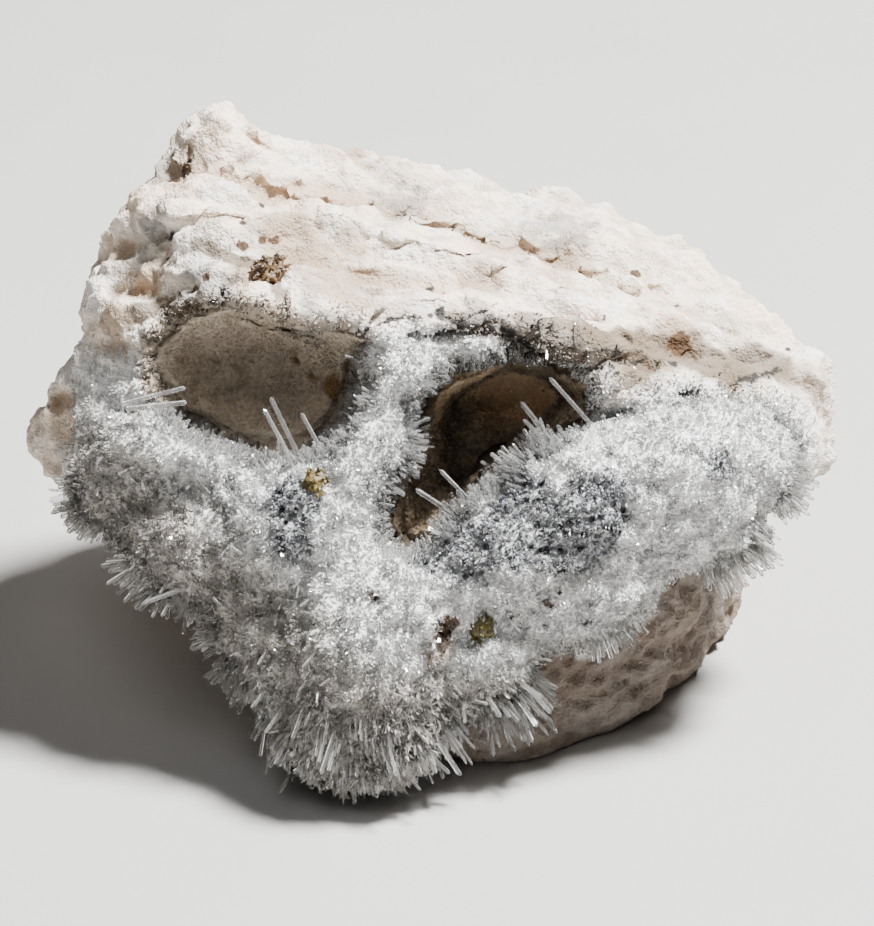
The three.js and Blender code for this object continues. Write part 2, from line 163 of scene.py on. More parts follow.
# Dark cracks, each a line of places on the face with its half width
CRACKS = [
    ([(-10.7, 12.5), (-7.2, 13.3), (-3.7, 14.5), (-0.5, 14.8)], 0.16),
    ([(0.3, 14.6), (3.3, 13.7), (6.3, 13.5), (9.4, 11.8)], 0.2),
    ([(9.4, 11.8), (12.3, 11.8), (16.3, 11.3), (18.3, 11.1)], 0.13),
    ([(11.8, 9.5), (16.3, 9.5), (20.3, 10.1), (23.6, 9.9)], 0.13),
    ([(18.1, 11.3), (17.4, 9.6)], 0.16),
    ([(24.3, 6.8), (28.3, 7.8), (31.3, 8.5), (34.1, 9.3)], 0.2),
    ([(19.1, 12.7), (20.6, 11.2)], 0.12),
    ([(-24.8, 17.0), (-21.5, 15.9), (-18.0, 14.2), (-12.5, 12.6)], 0.13),
]
# The grey blue cores of the crust, where the clear crystals show dark rock under them
GREY_CORES = [
    (3.5, -8.5, 2.2, 4.6), (9.3, -6.2, 3.0, 5.6), (13.8, -6.8, 3.2, 5.6), (16.4, -3.8, 1.6, 4.2),
    (-14.4, -4.0, 1.8, 3.6), (-14.6, -7.6, 1.2, 3.0), (28.2, -0.2, 0.6, 2.0), (-0.8, -9.7, 0.6, 2.2),
    (8.0, -2.5, 0.6, 2.6),
]
# Ridges and troughs of the rock: places on the face, how far they stand out or are sunk in, and their width
RIDGES = [
    # the slab's upper edge, and the trough behind it
    ([(-26.7, 25.0), (-20.0, 23.6), (-11.0, 24.6), (-1.0, 21.0), (8.0, 18.2), (16.0, 14.5)], 1.5, 1.3),
    ([(-27.0, 29.0), (-17.0, 27.5), (-7.0, 27.0), (3.0, 24.0), (11.0, 21.5), (19.0, 17.5)], -1.8, 1.9),
    # weathered dips in the slab
    ([(-15.0, 20.5), (-8.0, 19.2), (0.0, 17.3)], -0.8, 1.0),
    ([(-18.5, 17.0), (-12.5, 15.5), (-6.0, 15.6)], 0.7, 1.1),
    ([(2.0, 18.5), (5.5, 17.6)], -0.6, 0.9),
    ([(18.0, 20.5), (24.0, 16.5), (30.0, 13.0)], -1.0, 1.2),
    ([(14.0, 19.0), (22.0, 14.6), (28.0, 12.5), (33.0, 10.8)], 0.8, 1.1),
    ([(12.0, 14.4), (18.0, 12.8), (25.0, 10.8)], -0.7, 0.9),
    # the slab's lower lip, and the recess under it
    ([(-18.0, 15.6), (-12.5, 14.2), (-7.2, 14.8), (-0.5, 16.2), (4.0, 15.2), (9.4, 13.4), (14.0, 13.2)],
     0.9, 0.9),
    ([(0.3, 13.2), (6.0, 12.2), (11.0, 10.8), (16.3, 10.4), (21.0, 9.8)], -1.3, 0.9),
    # the cheek left of the hollow
    ([(-32.6, 17.5), (-29.0, 17.0)], -0.9, 0.9),
    ([(-33.4, 14.2), (-29.0, 14.6)], 0.7, 1.1),
    ([(-34.0, 11.6), (-30.0, 11.6)], -0.8, 0.8),
    ([(-32.0, 21.0), (-26.0, 20.0)], -0.6, 1.0),
    # bumps of the skyline
    ([(-22.4, 34.4), (-21.6, 33.6)], 1.2, 1.0),
    ([(-26.0, 32.6), (-25.6, 31.0)], -1.5, 1.5),
    ([(-18.6, 32.4), (-15.0, 31.4)], -0.8, 1.0),
    ([(-11.0, 31.0), (-10.2, 30.8)], 0.6, 1.0),
    ([(8.6, 26.3), (9.6, 25.9)], 0.6, 1.2),
    ([(25.0, 19.4), (26.0, 18.6)], 0.7, 1.2),
    # the notch over the knob
    ([(-38.4, 6.0), (-36.8, 6.6)], -1.4, 0.9),
]

# The part of the face that holds the crust, and the size of the cells that its surface is made in
CRUST_LOW = (-43.0, -33.0, -22.0)
CRUST_HIGH = (41.0, 17.0, 10.0)
CRUST_CELL = 0.34
# How far the crust's body stays from the hollows, and over what distance its balls run into each other, the
# parts of a hollow do, and the crust bends into a hollow
RIM_ROOM = 0.9
BALL_BLEND = 5.2
HOLLOW_BLEND = 3.4
RIM_BLEND = 1.6


# Nodes


class Wire:
    """What one node passes to the next. A sum that is written with wires adds the nodes that work it out."""

    def __init__(self, nodes, socket):
        self.nodes = nodes
        self.socket = socket

    def maths(self, operation, *terms, output=0):
        kind = "ShaderNodeMath"
        for term in terms:
            if term.socket.type == "VECTOR" if isinstance(term, Wire) else hasattr(term, "__len__"):
                kind = "ShaderNodeVectorMath"
        return self.nodes.add(kind, {"operation": operation}, dict(enumerate(terms)), output)

    def __add__(self, other):
        return self.maths("ADD", self, other)

    def __radd__(self, other):
        return self.maths("ADD", other, self)

    def __sub__(self, other):
        return self.maths("SUBTRACT", self, other)

    def __rsub__(self, other):
        return self.maths("SUBTRACT", other, self)

    def __mul__(self, other):
        return self.maths("MULTIPLY", self, other)

    def __rmul__(self, other):
        return self.maths("MULTIPLY", other, self)

    def __truediv__(self, other):
        return self.maths("DIVIDE", self, other)

    def __rtruediv__(self, other):
        return self.maths("DIVIDE", other, self)

    def __neg__(self):
        return self * -1.0

    def __gt__(self, other):
        return self.maths("GREATER_THAN", self, other)

    def __lt__(self, other):
        return self.maths("LESS_THAN", self, other)

    def larger(self, other):
        return self.maths("MAXIMUM", self, other)

    def smaller(self, other):
        return self.maths("MINIMUM", self, other)

    def length(self):
        return self.maths("LENGTH", self, output=1)

    def distance(self, point):
        return self.maths("DISTANCE", self, point, output=1)

    def part(self, axis):
        return self.nodes.add("ShaderNodeSeparateXYZ", {}, {0: self}, axis)

    def ranged(self, start, end, low=0.0, high=1.0):
        """Goes smoothly from low to high as this value goes from start to end."""
        settings = {"interpolation_type": "SMOOTHSTEP"}
        return self.nodes.add("ShaderNodeMapRange", settings, {0: self, 1: start, 2: end, 3: low, 4: high})


class Nodes:
    """A node tree, and the one way that nodes are added to it."""

    def __init__(self, tree):
        self.tree = tree

    def add(self, kind, settings=None, sockets=None, output=0):
        node = self.tree.nodes.new(kind)
        for name, value in (settings or {}).items():
            setattr(node, name, value)
        for name, value in (sockets or {}).items():
            socket = node.inputs[name]
            if isinstance(value, Wire):
                self.tree.links.new(value.socket, socket)
            elif socket.type == "VECTOR" and not hasattr(value, "__len__"):
                socket.default_value = (value, value, value)
            elif socket.type == "RGBA" and len(value) == 3:
                socket.default_value = (*value, 1.0)
            else:
                socket.default_value = value
        return Wire(self, node.outputs[output]) if len(node.outputs) else None

    def noise(self, place, size, detail=2.0, output=0, **settings):
        """Cloudy noise with lumps of about the given size, in metres, from 0 to 1."""
        sockets = {"Vector": place, "Scale": 1 / size, "Detail": detail}
        return self.add("ShaderNodeTexNoise", settings, sockets, output)

    def mixed(self, share, first, second):
        """A colour between two others."""
        return self.add("ShaderNodeMix", {"data_type": "RGBA"}, {0: share, 6: first, 7: second}, 2)

    def stored(self, label):
        """A number that the mesh keeps."""
        return self.add("ShaderNodeAttribute", {"attribute_name": label}, {}, "Fac")

    def bumps(self, strength, depth, height):
        return self.add("ShaderNodeBump", {}, {"Strength": strength, "Distance": depth, "Height": height})

    def patch(self, label, loose, start, end):
        """A mark that the mesh keeps, its edge broken up by some noise."""
        amount = self.stored(label)
        return (amount + loose * amount.ranged(0.0, 0.2)).ranged(start, end)

    def random(self, low, high, seed):
        """A different number for each point, or a different vector."""
        if hasattr(low, "__len__"):
            kind, sockets, output = "FLOAT_VECTOR", {0: low, 1: high, 8: seed}, 0
        else:
            kind, sockets, output = "FLOAT", {2: low, 3: high, 8: seed}, 1
        return self.add("FunctionNodeRandomValue", {"data_type": kind}, sockets, output)


class Shape(Nodes):
    """A tree of geometry nodes with named inputs."""

    def __init__(self, name, inputs):
        super().__init__(bpy.data.node_groups.new(name, "GeometryNodeTree"))
        face = self.tree.interface
        face.new_socket("Geometry", in_out="OUTPUT", socket_type="NodeSocketGeometry")
        face.new_socket("Geometry", in_out="INPUT", socket_type="NodeSocketGeometry")
        for label, kind in inputs.items():
            face.new_socket(label, in_out="INPUT", socket_type="NodeSocket" + kind)
        self.group = self.tree.nodes.new("NodeGroupInput")

    def input(self, label):
        return Wire(self, self.group.outputs[label])

    def end(self, geometry, smooth):
        """The tree's last nodes: real faces in the given material."""
        real = self.add("GeometryNodeRealizeInstances", {}, {0: geometry})
        shaded = self.add("GeometryNodeSetShadeSmooth", {}, {0: real, "Shade Smooth": smooth})
        coated = self.add("GeometryNodeSetMaterial", {}, {0: shaded, "Material": self.input("Material")})
        self.add("NodeGroupOutput", {}, {0: coated})
        return self.tree


def with_shape(piece, tree, **values):
    """Puts a tree on a piece, with a value for each of its inputs."""
    modifier = piece.modifiers.new(tree.name, "NODES")
    modifier.node_group = tree
    for item in tree.interface.items_tree:
        label = item.name.lower().replace(" ", "_")
        if item.in_out == "INPUT" and label in values:
            modifier[item.identifier] = values[label]


def settled(piece):
    """Turns a piece and its modifiers into a plain mesh."""
    view = bpy.context.view_layer
    view.update()
    made = bpy.data.meshes.new_from_object(piece.evaluated_get(bpy.context.evaluated_depsgraph_get()))
    piece.modifiers.clear()
    old = piece.data
    piece.data = made
    bpy.data.meshes.remove(old)
    made.name = piece.name
    if not made.polygons:
        raise RuntimeError(piece.name + " has no faces")
    return piece


# Meshes


def new_piece(name, mesh, slot, *nodes):
    """A piece of the cluster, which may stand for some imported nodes."""
    piece = bpy.data.objects.new(name, mesh)
    bpy.context.scene.collection.objects.link(piece)
    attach(piece, "root")
    if nodes:
        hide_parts(*nodes)
    return piece


def copied(node, name, slot, cell, rounds, tree, **values):
    """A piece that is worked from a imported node: its loose triangles joined, remade in small even cells,
    smoothed and given a relief."""
    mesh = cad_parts[node].data.copy()
    work = bmesh.new()
    work.from_mesh(mesh)
    bmesh.ops.remove_doubles(work, verts=work.verts, dist=1e-6)
    work.to_mesh(mesh)
    work.free()
    mesh.materials.clear()
    piece = new_piece(name, mesh, slot, node)
    remade = piece.modifiers.new("cells", "REMESH")
    remade.mode = "VOXEL"
    remade.voxel_size = cell
    smooth = piece.modifiers.new("wear", "SMOOTH")
    smooth.factor = 0.5
    smooth.iterations = rounds
    with_shape(piece, tree, **values)
    return settled(piece)


def corners_of(mesh):
    """The corners of a mesh, and which way each one faces."""
    places = np.empty(len(mesh.vertices) * 3, np.float32)
    mesh.vertices.foreach_get("co", places)
    ways = np.empty(len(mesh.vertices) * 3, np.float32)
    mesh.vertex_normals.foreach_get("vector", ways)
    return places.reshape(-1, 3), ways.reshape(-1, 3)


def on_face(places):
    """Points of the part, as (right, up, out) in millimetres on the broken face."""
    back = np.array(FACE_TO_PART.inverted())
    return (places @ back[:3, :3].T + back[:3, 3]) / MM


def egg_depths(places, at, radii, turn, **others):
    """How far points on the face are outside an egg shape, in millimetres, negative inside."""
    away = places - np.array(at)
    cos, sin = math.cos(math.radians(turn)), math.sin(math.radians(turn))
    turned = [away[:, 0] * cos + away[:, 1] * sin, away[:, 1] * cos - away[:, 0] * sin, away[:, 2]]
    shares = np.column_stack(turned) / np.array(radii)
    share = np.linalg.norm(shares, axis=1)
    steep = np.linalg.norm(shares / np.array(radii), axis=1)
    return share * (share - 1) / np.maximum(steep, 1e-6)


def outside(face, shapes):
    """How far points on the face are outside the nearest of some egg shapes, in millimetres."""
    return np.min([egg_depths(face, **one) for one in shapes], axis=0)


def hollow_depths(places, facing):
    """How far points are outside the hollows, in millimetres, and how fast that grows along their facing."""
    step = 0.2
    ends = (places, places + facing * step * MM)
    start, further = [outside(on_face(end), LEFT_HOLLOW + RIGHT_HOLLOW) for end in ends]
    return start, (further - start) / step


def unit(ways):
    """Ways with their length made 1."""
    return ways / np.linalg.norm(ways, axis=1, keepdims=True)


def sprays(face):
    """For points on the crust: the way from their ball's root, how much of a spray of longer needles stands
    there, from 0 to 1, and how long it is."""
    owner = np.column_stack([egg_depths(face, **ball) for ball in BALLS]).argmin(axis=1)
    spoke = unit(face - np.array([ball["at"] for ball in BALLS])[owner])
    away = unit(face - np.array([ball.get("root", ball["at"]) for ball in BALLS])[owner])
    starts, ends = np.array([ball.get("spray", (0, 0)) for ball in BALLS])[owner].T
    longs = np.array([ball.get("long", 0) for ball in BALLS])[owner]
    # A spray thins out over 24 degrees at either side, and where it turns to the front or the back
    past = (np.degrees(np.arctan2(spoke[:, 1], spoke[:, 0])) - starts + 180) % 360 - 180
    inside = np.clip(np.minimum(past + 12, ends - starts + 12 - past) / 24, 0, 1)
    level = np.clip((0.75 - np.abs(spoke[:, 2])) / 0.3, 0, 1)
    return away, inside * level, longs


def fan_way(face, facing):
    """The way that needles lie along the fan, like thatch with its ends a little raised."""
    flow = face - np.array(FAN_ROOT)
    flow[:, 2] = 0
    flow = unit(flow) @ FACE_TURN.T
    flow -= facing * np.sum(flow * facing, axis=1, keepdims=True) * 0.9
    return unit(unit(flow) + 0.12 * facing)


def inward(face, facing, shapes):
    """The way from points on the rim of some egg shapes to the nearest middle, raised from the face."""
    nearest = np.column_stack([egg_depths(face, **one) for one in shapes]).argmin(axis=1)
    way = np.array([one["at"] for one in shapes])[nearest] - face
    way[:, 2] = 0
    return unit(0.8 * unit(way) @ FACE_TURN.T + 0.5 * facing + 0.3 * FACE_TURN[:, 2])


def seen(pieces, right, up):
    """The nearest point of some pieces behind a place on the face, seen from straight in front of it."""
    way = (FACE_TO_PART @ (Vector((right, up, 0)) * MM) - EYE).normalized()
    hits = [piece.ray_cast(EYE, way) for piece in pieces]
    points = [hit[1] for hit in hits if hit[0]]
    if not points:
        raise RuntimeError(f"nothing is behind {right}, {up}")
    return min(points, key=lambda point: (point - EYE).length)


def found(pieces, marks):
    """Marks with their places found on the pieces."""
    return [(seen(pieces, right, up), full, gone) for right, up, full, gone in marks]


def along(pieces, line):
    """The points of a line that is drawn on some pieces."""
    return [seen(pieces, right, up) for right, up in line]


def in_steps(line):
    """A line with places added, a millimetre apart at most, so that it can follow a bent surface."""
    places = [line[0]]
    for start, end in zip(line, line[1:]):
        count = math.ceil(math.dist(start, end))
        for i in range(1, count + 1):
            places.append([first + (last - first) * i / count for first, last in zip(start, end)])
    return places


def line_distance(places, points):
    """How far places are from a line through some points."""
    nearest = np.full(len(places), np.inf)
    for start, end in zip(points, points[1:]):
        step = np.array(end - start)
        away = places - np.array(start)
        share = np.clip(away @ step / (step @ step), 0, 1)
        nearest = np.minimum(nearest, np.linalg.norm(away - share[:, None] * step, axis=1))
    return nearest


def ramp(values, start, end):
    """Goes evenly from 0 to 1 as the values go from start to end."""
    return np.clip((values - start) / (end - start), 0, 1)


def store(mesh, label, values):
    """Keeps a number or a vector for each corner of a mesh."""
    kind, field = ("FLOAT_VECTOR", "vector") if values.ndim == 2 else ("FLOAT", "value")
    kept = mesh.attributes.get(label) or mesh.attributes.new(label, kind, "POINT")
    kept.data.foreach_set(field, np.ascontiguousarray(values, np.float32).ravel())


def mark_mesh(mesh, pieces, stony):
    """Stores how much of each kind of mark there is at each corner of a mesh, from 0 to 1; some are painted
    shade. The browns and painted shade of the hollows cover more of a stony mesh."""
    places = corners_of(mesh)[0]
    face = on_face(places)
    for label, marks in (("tan", TAN_STAINS), ("grey", GREY_PATCHES), ("core", GREY_CORES),
                         ("brown", BROWN_STAINS), ("black", BLACK_SPECKS)):
        shares = [ramp(np.linalg.norm(places - np.array(point), axis=1), gone * MM, full * MM)
                  for point, full, gone in found(pieces, marks)]
        store(mesh, label, np.max(shares, axis=0))
    for label, lines in (("band", BROWN_AND_SHADED_BANDS), ("crack", CRACKS)):
        shares = [ramp(line_distance(places, along(pieces, in_steps(line))), 3 * half * MM, half * MM)
                  for line, half in lines]
        store(mesh, label, np.max(shares, axis=0))
    # How far back, low or left a place is, where painted shade goes
    back = ramp(face[:, 2], -1.5, -9.0)
    fan = ramp(face[:, 1], -18.5, -24.0)
    left = ramp(0.9 * face[:, 0] + face[:, 1], -20.0, -33.0)
    store(mesh, "dim", np.maximum(np.maximum(back * ramp(face[:, 1], 4, -2), fan), left))
    # Lower down the rock is browner, partly with painted shade
    store(mesh, "low", ramp(face[:, 1], 2.0, -10.0))
    rim_from = -8 if stony else 4
    # The left hollow's taupe reaches onto its wall, partly painted shade
    wall = ramp(outside(face, LEFT_HOLLOW), 2.4, 0.7)
    store(mesh, "wall", wall * ramp(face[:, 1], rim_from, rim_from + 4) * ramp(face[:, 0], -5.5, -10))
    # Painted shade deep in the right hollow, on the rock only
    store(mesh, "deep", ramp(outside(face, RIGHT_HOLLOW), 2.4, 1.2) * stony)
    store(mesh, "frost", frosted(face))


def frosted(face):
    """How much of the rock's skin is small white crystals: next to the crust, and on the left cheek."""
    cheek = ramp(face[:, 0], -27.5, -29.5) * ramp(face[:, 0], -38.5, -36.5) * ramp(face[:, 1], 13.5, 9.0)
    wide = np.where((face[:, 0] > 14) & (face[:, 0] < 31), 3.0, 2.2)
    return np.maximum(ramp(outside(face, BALLS), wide, 0.8), 0.9 * cheek) * (face[:, 2] > -14)


# Shapes


def egg_field(nodes, place, at, radii, turn, **others):
    """The same depth as egg_depths, as nodes."""
    away = place - Vector(at)
    settings = {"rotation_type": "Z_AXIS"}
    turned = nodes.add("ShaderNodeVectorRotate", settings, {0: away, 3: math.radians(-turn)})
    shares = turned / Vector(radii)
    share = shares.length()
    return share * (share - 1.0) / (shares / Vector(radii)).length()


def run_together(fields, edge, operation="SMOOTH_MIN"):
    whole = fields[0]
    for field in fields[1:]:
        whole = whole.maths(operation, whole, field, edge)
    return whole


def crust_shape():
    """The body of the crust: the balls run together, the hollows open through it, and a lumpy skin."""
    sizes = ["Inset", "Lump Height", "Knob Size", "Knob Height"]
    shape = Shape("crust body", {**{size: "Float" for size in sizes}, "Material": "Material"})
    place = shape.add("GeometryNodeInputPosition")
    balls = run_together([egg_field(shape, place, **ball) for ball in BALLS + [FAN]], BALL_BLEND)
    hollows = [run_together([egg_field(shape, place, **one) for one in hollow], HOLLOW_BLEND)
               for hollow in (LEFT_OPENING, RIGHT_HOLLOW)]
    # Room is left for the crystals on the hollows' edges
    open_crust = run_together([balls] + [RIM_ROOM - hollow for hollow in hollows], RIM_BLEND, "SMOOTH_MAX")
    lumps = shape.noise(place, 3.4, 4.0) - 0.5
    # It is flat where it would reach the ground
    lean = math.radians(LEAN)
    ground = -(place.part("Y") * math.cos(lean) + place.part("Z") * math.sin(lean) + FACE_HEIGHT)
    near_knob = shape.add("ShaderNodeTexVoronoi", {"feature": "SMOOTH_F1"}, {
        "Vector": place, "Scale": 1 / shape.input("Knob Size"), "Smoothness": 0.25,
    })
    raised = lumps * shape.input("Lump Height") + (0.45 - near_knob) * shape.input("Knob Height")
    bulk = open_crust + shape.input("Inset") - raised
    depth = bulk.larger(ground + 0.1)
    counts = [math.ceil((high - low) / CRUST_CELL) for low, high in zip(CRUST_LOW, CRUST_HIGH)]
    volume = shape.add("GeometryNodeVolumeCube", {}, {
        "Density": -depth, "Background": -1.0,
        "Min": Vector(CRUST_LOW), "Max": Vector(CRUST_HIGH),
        "Resolution X": counts[0], "Resolution Y": counts[1], "Resolution Z": counts[2],
    })
    skin = shape.add("GeometryNodeVolumeToMesh", {}, {"Volume": volume, "Threshold": 0.0})
    placed = shape.add("GeometryNodeTransform", {}, {
        0: skin, "Translation": FACE_TO_PART.to_translation(),
        "Rotation": FACE_TO_PART.to_euler(), "Scale": Vector((MM, MM, MM)),
    })
    return shape.end(placed, True)


def relief_shape():
    """A rough surface: lumps, pits and fine grain raised along the way that the surface faces."""
    sizes = [label + part for label in ("Lump", "Pit", "Grain") for part in (" Size", " Height")]
    shape = Shape("relief", {**{size: "Float" for size in sizes + ["Flat Below"]}, "Material": "Material"})
    place = shape.add("GeometryNodeInputPosition")
    facing = shape.add("GeometryNodeInputNormal")
    rise = None
    # The larger forms are drawn out to the side
    for label, drawn in (("Lump", (0.6, 1, 1)), ("Pit", (0.5, 1, 1)), ("Grain", (1, 1, 1))):
        scale = 1 / shape.input(label + " Size")
        cloud = shape.add("ShaderNodeTexNoise", {}, {"Vector": place * drawn, "Scale": scale, "Detail": 2.0})
        part = (cloud - 0.5) * 2.0 * shape.input(label + " Height")
        rise = part if rise is None else rise + part
    foot = shape.input("Flat Below")
    kept = place.part("Z").ranged(foot, foot + 1.5 * MM)
    noted = shape.add("GeometryNodeStoreNamedAttribute", {"data_type": "FLOAT", "domain": "POINT"}, {
        0: shape.input("Geometry"), "Name": "rise", "Value": rise * (1 / MM),
    })
    moved = shape.add("GeometryNodeSetPosition", {}, {0: noted, "Offset": facing * (rise * kept)})
    return shape.end(moved, True)


def crystals_shape(spread):
    """Crystals that stand on a surface, spread over it or one on each of its corners. The surface's own
    attributes say where: coat is how thickly they stand, reach is how far the longest stands out, and way
    is where it points."""
    sizes = ["Density", "Width", "Thinnest", "Shortest", "Tilt", "Shoulder", "Foot", "Sunk", "Clump"]
    inputs = {size: "Float" for size in sizes + ["Patchy"]}
    inputs.update({"Sides": "Int", "Seed": "Int", "Material": "Material"})
    shape = Shape("crystals", inputs)
    coat, reach, way = [
        shape.add("GeometryNodeInputNamedAttribute", {"data_type": kind}, {"Name": label})
        for label, kind in (("coat", "FLOAT"), ("reach", "FLOAT"), ("way", "FLOAT_VECTOR"))
    ]
    seed = shape.input("Seed")
    if spread:
        patch = shape.noise(shape.add("GeometryNodeInputPosition"), 2.6 * MM).ranged(0.42, 0.6)
        thick = coat * (1.0 - shape.input("Patchy") * (1.0 - patch)) * shape.input("Density")
        stands = shape.add("GeometryNodeDistributePointsOnFaces", {}, {
            "Mesh": shape.input("Geometry"), "Density": thick, "Seed": seed,
        })
    else:
        stands = shape.add("GeometryNodeMeshToPoints", {}, {0: shape.input("Geometry")})
    tilt = shape.random((-1.0, -1.0, -1.0), (1.0, 1.0, 1.0), seed) * shape.input("Tilt")
    points = shape.add("GeometryNodeSetPosition", {}, {0: stands, "Offset": way * (-shape.input("Sunk"))})
    aimed = shape.add("FunctionNodeAlignRotationToVector", {"axis": "Z"}, {"Vector": way + tilt})
    angle = shape.random(0.0, 6.28, seed + 1.0)
    spin = shape.add("FunctionNodeAxisAngleToRotation", {}, {"Axis": (0, 0, 1), "Angle": angle})
    turned = shape.add("FunctionNodeRotateRotation", {"rotation_space": "LOCAL"}, {0: aimed, 1: spin})
    wide = shape.input("Width") * shape.random(shape.input("Thinnest"), 1.0, seed + 2.0)
    cloud = shape.noise(shape.add("GeometryNodeInputPosition"), 1.5 * MM)
    clump = (cloud - 0.5) * shape.input("Clump") + 1.0
    long = reach * clump * shape.random(shape.input("Shortest"), 1.0, seed + 3.0) + shape.input("Sunk")
    size = shape.add("ShaderNodeCombineXYZ", {}, {0: wide, 1: wide, 2: long})
    # One crystal: a prism with a low point, or with its foot drawn in to a point too
    block = shape.add("GeometryNodeMeshCylinder", {"fill_type": "NGON"}, {
        "Vertices": shape.input("Sides"), "Side Segments": 2, "Radius": 0.5 * math.sqrt(2), "Depth": 1.0,
    })
    corner = shape.add("GeometryNodeInputPosition")
    height = corner.part("Z")
    top, bottom = height > 0.25, height < -0.25
    girth = 1.0 - top - bottom * (1.0 - shape.input("Foot"))
    level = height + 0.5 + (1.0 - top - bottom) * (shape.input("Shoulder") - 0.5)
    across, along_y = corner.part("X") * girth, corner.part("Y") * girth
    drawn = shape.add("ShaderNodeCombineXYZ", {}, {0: across, 1: along_y, 2: level})
    cut = shape.add("GeometryNodeSetPosition", {}, {0: block, "Position": drawn})
    crystal = shape.add("GeometryNodeMergeByDistance", {}, {0: cut, "Distance": 0.001})
    grown = shape.add("GeometryNodeInstanceOnPoints", {}, {
        "Points": points, "Instance": crystal, "Rotation": turned, "Scale": size,
    })
    return shape.end(grown, False)


def grow(name, ground, tree, material, slot, coat, reach, way, **sizes):
    """A piece of crystals that stand on the ground, a mesh."""
    mesh = ground.copy()
    for label, values in (("coat", coat), ("reach", reach * MM), ("way", way)):
        store(mesh, label, values)
    piece = new_piece(name, mesh, slot)
    with_shape(piece, tree, material=material, **sizes)
    settled(piece)
    for label in ("coat", "reach", "way"):
        if label in piece.data.attributes:
            piece.data.attributes.remove(piece.data.attributes[label])
    return piece


# Finishes


def new_material(name):
    material = bpy.data.materials.new(name)
    material.use_nodes = True
    material.node_tree.nodes.clear()
    nodes = Nodes(material.node_tree)
    return material, nodes, nodes.add("ShaderNodeTexCoord", {}, {}, "Object")


def finish_with(nodes, color, roughness, normal=None, **constants):
    sockets = {"Base Color": color, "Roughness": roughness, **constants}
    if normal:
        sockets["Normal"] = normal
    shader = nodes.add("ShaderNodeBsdfPrincipled", {}, sockets)
    nodes.add("ShaderNodeOutputMaterial", {}, {"Surface": shader})


def marked(place, marks):
    """How much of any mark there is at a place, from 0 to 1. A mark is a point and the radii, in
    millimetres, inside which it is full and outside which it is gone."""
    whole = None
    for point, full, gone in marks:
        share = place.distance(point).ranged(full * MM, gone * MM, 1.0, 0.0)
        whole = share if whole is None else whole.larger(share)
    return whole


def cracked(place, cracks):
    """How much of any dark crack there is at a place, from 0 to 1."""
    whole = None
    for points, half in cracks:
        for start, end in zip(points, points[1:]):
            step = end - start
            away = place - start
            share = away.maths("DOT_PRODUCT", away, step / step.length_squared, output=1)
            gap = (away - share.larger(0.0).smaller(1.0) * step).length()
            dark = gap.ranged(half * MM, 3 * half * MM, 1.0, 0.0)
            whole = dark if whole is None else whole.larger(dark)
    return whole


def stained(nodes, place, color, sharp=()):
    """The left hollow's brown with painted shade on its wall, and the rock's stains, brown bands with
    painted shadow, specks and cracks, over a colour. Sharp is the specks and cracks that are finer than the
    mesh."""
    cloud = nodes.noise(place, 1.6 * MM, 4.0)
    fine = nodes.noise(place, 0.6 * MM, 3.0)
    loose = (cloud - 0.5) * 1.3
    # The left hollow's taupe on its wall, partly painted shade
    color = nodes.mixed(nodes.patch("wall", fine - 0.5, 0.3, 0.8) * 0.9, color, (0.36, 0.29, 0.22))
    color = nodes.mixed(nodes.patch("tan", loose, 0.1, 0.9) * 0.65, color, (0.30, 0.20, 0.12))
    # Brown bands, partly painted shadow under the slab's lip
    color = nodes.mixed(nodes.patch("band", loose, 0.1, 0.8) * 0.85, color, (0.15, 0.11, 0.072))
    color = nodes.mixed(nodes.patch("grey", loose * 2.0, 0.3, 1.0) * 0.6, color, (0.17, 0.165, 0.155))
    brown = nodes.patch("brown", (fine - 0.5) * 1.6, 0.3, 0.6)
    color = nodes.mixed(brown * 0.95, color, (0.075, 0.036, 0.013))
    if not sharp:
        dark = nodes.stored("black").larger(nodes.stored("crack")).ranged(0.55, 0.9)
    else:
        specks, cracks = sharp
        shaken = place + (nodes.noise(place, 1.1 * MM, 3.0, 1) - Vector((0.5, 0.5, 0.5))) * (1.4 * MM)
        dark = marked(shaken, specks)
        dark = dark.larger(cracked(shaken, cracks) * fine.ranged(0.3, 0.45))
    return nodes.mixed(dark * 0.95, color, (0.02, 0.018, 0.015))


def sharp_marks(pieces):
    return found(pieces, BLACK_SPECKS), [(along(pieces, line), half) for line, half in CRACKS]


def rock_material(sizes, pieces):
    material, nodes, place = new_material("cream_weathered_rock")
    broad = nodes.noise(place, 7 * MM, 3.0)
    fine = nodes.noise(place, 0.9 * MM, 4.0)
    grain = nodes.noise(place, 0.32 * MM, 2.0)
    mottle = nodes.noise(place * Vector((0.6, 1, 1)), 2.6 * MM, 3.0)
    base = nodes.mixed(broad.ranged(0.38, 0.62), sizes.rock_color, sizes.rock_white)
    base = nodes.mixed(mottle.ranged(0.45, 0.66) * 0.7, base, sizes.rock_mottle)
    # The rock's dips turn tan, partly as painted shade
    base = nodes.mixed(nodes.stored("rise").ranged(0.3, -1.6) * 0.8, base, sizes.rock_tan)
    base = nodes.mixed(fine.ranged(0.46, 0.70) * 0.5, base, sizes.rock_grey)
    # Lower down the rock is darker and browner: partly its own brown, partly painted shade
    base = nodes.mixed((nodes.stored("low") + broad - 0.5).ranged(0.0, 1.0) * 0.85, base, sizes.rock_foot)
    base = nodes.mixed((nodes.stored("frost") + fine - 0.5).ranged(0.2, 0.8) * 0.85, base, sizes.crust_color)
    # Painted shade: near black deep in the right hollow
    base = nodes.mixed(nodes.stored("deep"), base, (0.085, 0.062, 0.04))
    color = stained(nodes, place, base, sharp_marks(pieces))
    bump = nodes.bumps(0.9, 0.35 * MM, grain + fine * 1.5)
    finish_with(nodes, color, 0.8, bump, **{"Specular IOR Level": 0.35})
    return material


